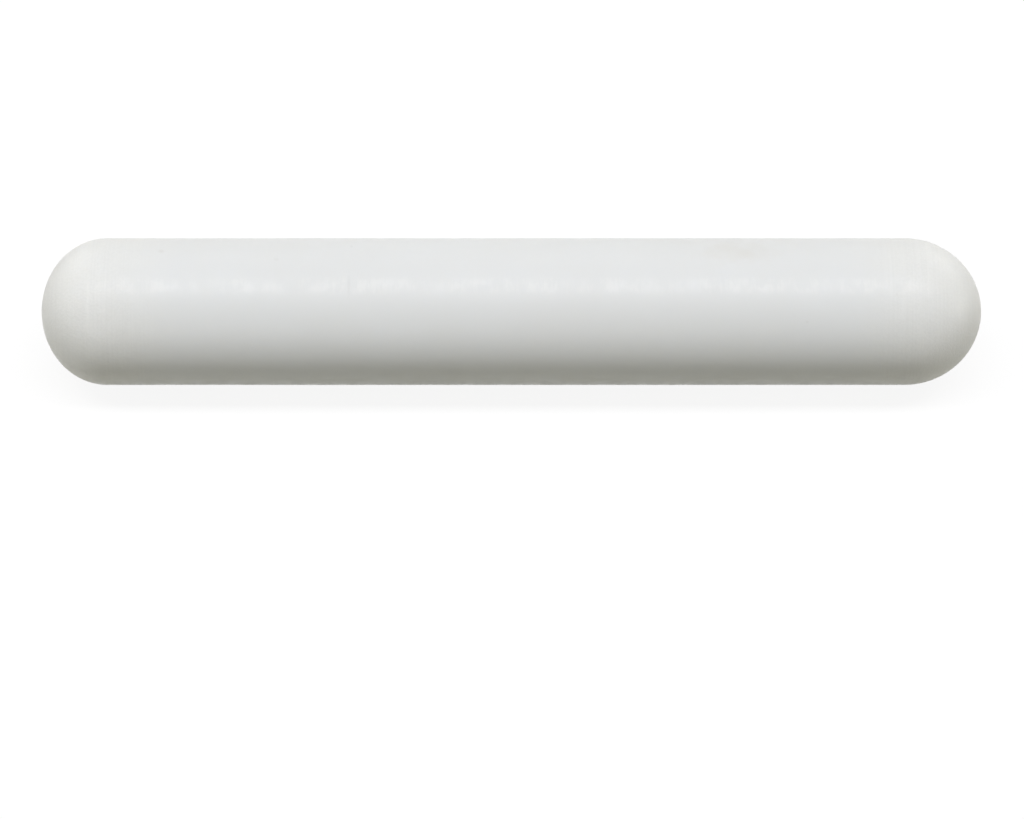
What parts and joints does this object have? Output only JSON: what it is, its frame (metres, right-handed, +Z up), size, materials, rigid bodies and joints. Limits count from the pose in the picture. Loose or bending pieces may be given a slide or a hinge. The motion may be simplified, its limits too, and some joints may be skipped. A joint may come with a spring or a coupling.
{
  "type": "magnetic stir bar",
  "caption": "Plain cylindrical magnetic stir bar with domed ends: a bar magnet sealed in a smooth white PTFE jacket, spun in a vessel by a magnetic stirrer.",
  "frame": {"origin": "on the bar's own axis, half way between its two tips", "axes": "+X along the bar, towards the end with the taller dome; +Z up, which is the axis it spins about when it stirs; the bar lies with its lowest line at Z = minus its radius"},
  "size_m": [0.0508, 0.008, 0.008],
  "materials": {
    "ptfe_white": "satin, with fine turning marks round the bar",
    "magnet_alloy": "ground"
  },
  "bodies": {
    "root": {"ptfe_jacket": "ptfe_white", "bar_magnet": "magnet_alloy"}
  },
  "joints": []
}
